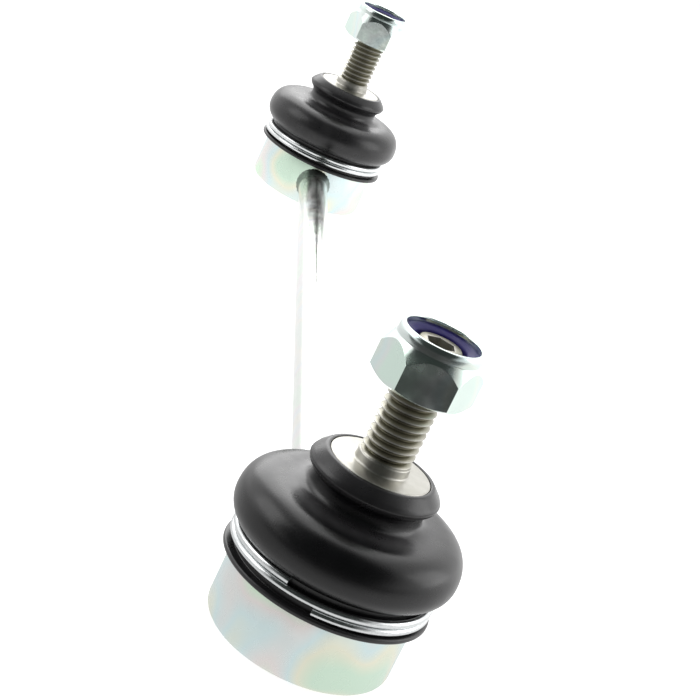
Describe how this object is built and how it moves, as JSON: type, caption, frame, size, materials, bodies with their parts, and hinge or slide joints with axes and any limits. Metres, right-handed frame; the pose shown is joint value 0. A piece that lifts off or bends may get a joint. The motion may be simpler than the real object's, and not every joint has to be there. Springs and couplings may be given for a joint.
{
  "type": "anti-roll bar link",
  "caption": "Straight steel rod with a booted ball joint welded to each end, both threaded studs on the same side with nylon-insert lock nuts.",
  "frame": {"origin": "midway between the two stud axes, on the surface that the two housings stand on", "axes": "+X along the rod from the bar end to the strut end, +Z along the studs towards the nuts"},
  "size_m": [0.3436, 0.0436, 0.0643],
  "materials": {
    "plated_rod": "zinc plated, smooth, bright",
    "plated_weld": "zinc plated over a weld bead, slightly rippled",
    "plated_housing": "zinc plated with a pale clear passivation, fine turning marks",
    "plated_cover": "zinc plated, pressed",
    "seat_plastic": "natural acetal",
    "stud_steel": "coated steel, rolled thread",
    "boot_rubber": "semi-matt moulded rubber",
    "spring_wire": "drawn spring steel, bright",
    "plated_nut": "zinc plated, chamfered corners",
    "insert_nylon": "dyed nylon"
  },
  "bodies": {
    "link": {"rod": "plated_rod", "weld_bar_end": "plated_weld", "housing_bar_end": "plated_housing", "bottom_cover_bar_end": "plated_cover", "boot_clamp_ring_bar_end": "spring_wire", "weld_strut_end": "plated_weld", "housing_strut_end": "plated_housing", "bottom_cover_strut_end": "plated_cover", "boot_clamp_ring_strut_end": "spring_wire"},
    "seat_bar_end": {"ball_seat_bar_end": "seat_plastic", "boot_bar_end": "boot_rubber"},
    "neck_ring_bar_end": {"boot_neck_ring_bar_end": "spring_wire"},
    "stud_bar_end": {"ball_stud_bar_end": "stud_steel"},
    "insert_bar_end": {"nylon_insert_bar_end": "insert_nylon"},
    "nut_bar_end": {"lock_nut_bar_end": "plated_nut"},
    "seat_strut_end": {"ball_seat_strut_end": "seat_plastic", "boot_strut_end": "boot_rubber"},
    "neck_ring_strut_end": {"boot_neck_ring_strut_end": "spring_wire"},
    "stud_strut_end": {"ball_stud_strut_end": "stud_steel"},
    "insert_strut_end": {"nylon_insert_strut_end": "insert_nylon"},
    "nut_strut_end": {"lock_nut_strut_end": "plated_nut"}
  },
  "joints": [
    {"name": "swivel_bar_end", "type": "hinge", "parent": "link", "child": "seat_bar_end", "pos_m": [-0.15, 0, 0.01205], "axis": [0, 0, 1], "continuous": true},
    {"name": "tilt_bar_end", "type": "hinge", "parent": "seat_bar_end", "child": "neck_ring_bar_end", "pos_m": [-0.15, 0, 0.01205], "axis": [0, 1, 0], "range_deg": [-22, 22], "deforming": ["boot_bar_end"]},
    {"name": "spin_bar_end", "type": "hinge", "parent": "neck_ring_bar_end", "child": "stud_bar_end", "pos_m": [-0.15, 0, 0.01205], "axis": [0, 0, 1], "continuous": true},
    {"name": "nut_travel_bar_end", "type": "slide", "parent": "stud_bar_end", "child": "insert_bar_end", "axis": [0, 0, 1], "range_m": [-0.0125, 0.0093]},
    {"name": "nut_spin_bar_end", "type": "hinge", "parent": "insert_bar_end", "child": "nut_bar_end", "pos_m": [-0.15, 0, 0.0535], "axis": [0, 0, 1], "range_deg": [-3010, 2240]},
    {"name": "swivel_strut_end", "type": "hinge", "parent": "link", "child": "seat_strut_end", "pos_m": [0.15, 0, 0.01205], "axis": [0, 0, 1], "continuous": true},
    {"name": "tilt_strut_end", "type": "hinge", "parent": "seat_strut_end", "child": "neck_ring_strut_end", "pos_m": [0.15, 0, 0.01205], "axis": [0, 1, 0], "range_deg": [-22, 22], "deforming": ["boot_strut_end"]},
    {"name": "spin_strut_end", "type": "hinge", "parent": "neck_ring_strut_end", "child": "stud_strut_end", "pos_m": [0.15, 0, 0.01205], "axis": [0, 0, 1], "continuous": true},
    {"name": "nut_travel_strut_end", "type": "slide", "parent": "stud_strut_end", "child": "insert_strut_end", "axis": [0, 0, 1], "range_m": [-0.0125, 0.0093]},
    {"name": "nut_spin_strut_end", "type": "hinge", "parent": "insert_strut_end", "child": "nut_strut_end", "pos_m": [0.15, 0, 0.0535], "axis": [0, 0, 1], "range_deg": [-3010, 2240]}
  ],
  "couplings": [
    {"joint": "nut_spin_bar_end", "follows": "nut_travel_bar_end", "rad_per_m": 4188.8},
    {"joint": "nut_spin_strut_end", "follows": "nut_travel_strut_end", "rad_per_m": 4188.8}
  ]
}
